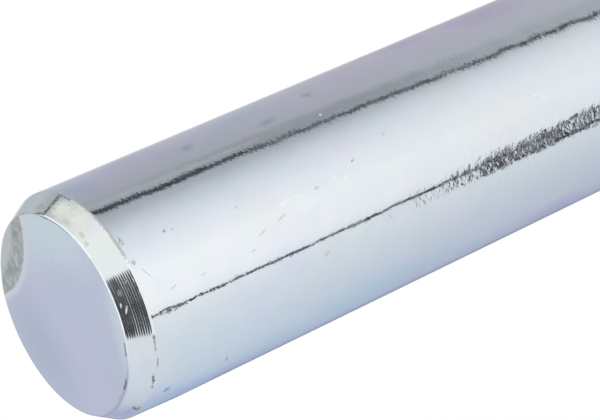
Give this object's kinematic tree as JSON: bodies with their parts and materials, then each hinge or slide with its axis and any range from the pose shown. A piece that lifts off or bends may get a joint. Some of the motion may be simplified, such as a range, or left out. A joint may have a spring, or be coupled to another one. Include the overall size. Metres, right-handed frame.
{
  "type": "pivot pin",
  "caption": "Plain round pivot pin of bright zinc plated steel, with a turned chamfer at each end and a shallow low spot at the rim of one end face.",
  "frame": {"origin": "middle of the foot, the end face that the pin stands on", "axes": "+Z along the pin's axis, from the foot to the upper end face; +X is 32 degrees clockwise, seen from above, of the middle of the low spot at the upper face's rim"},
  "size_m": [0.02, 0.02, 0.1],
  "materials": {
    "zinc_plated_steel": "polished"
  },
  "bodies": {
    "root": {"pivot_pin": "zinc_plated_steel"}
  },
  "joints": []
}
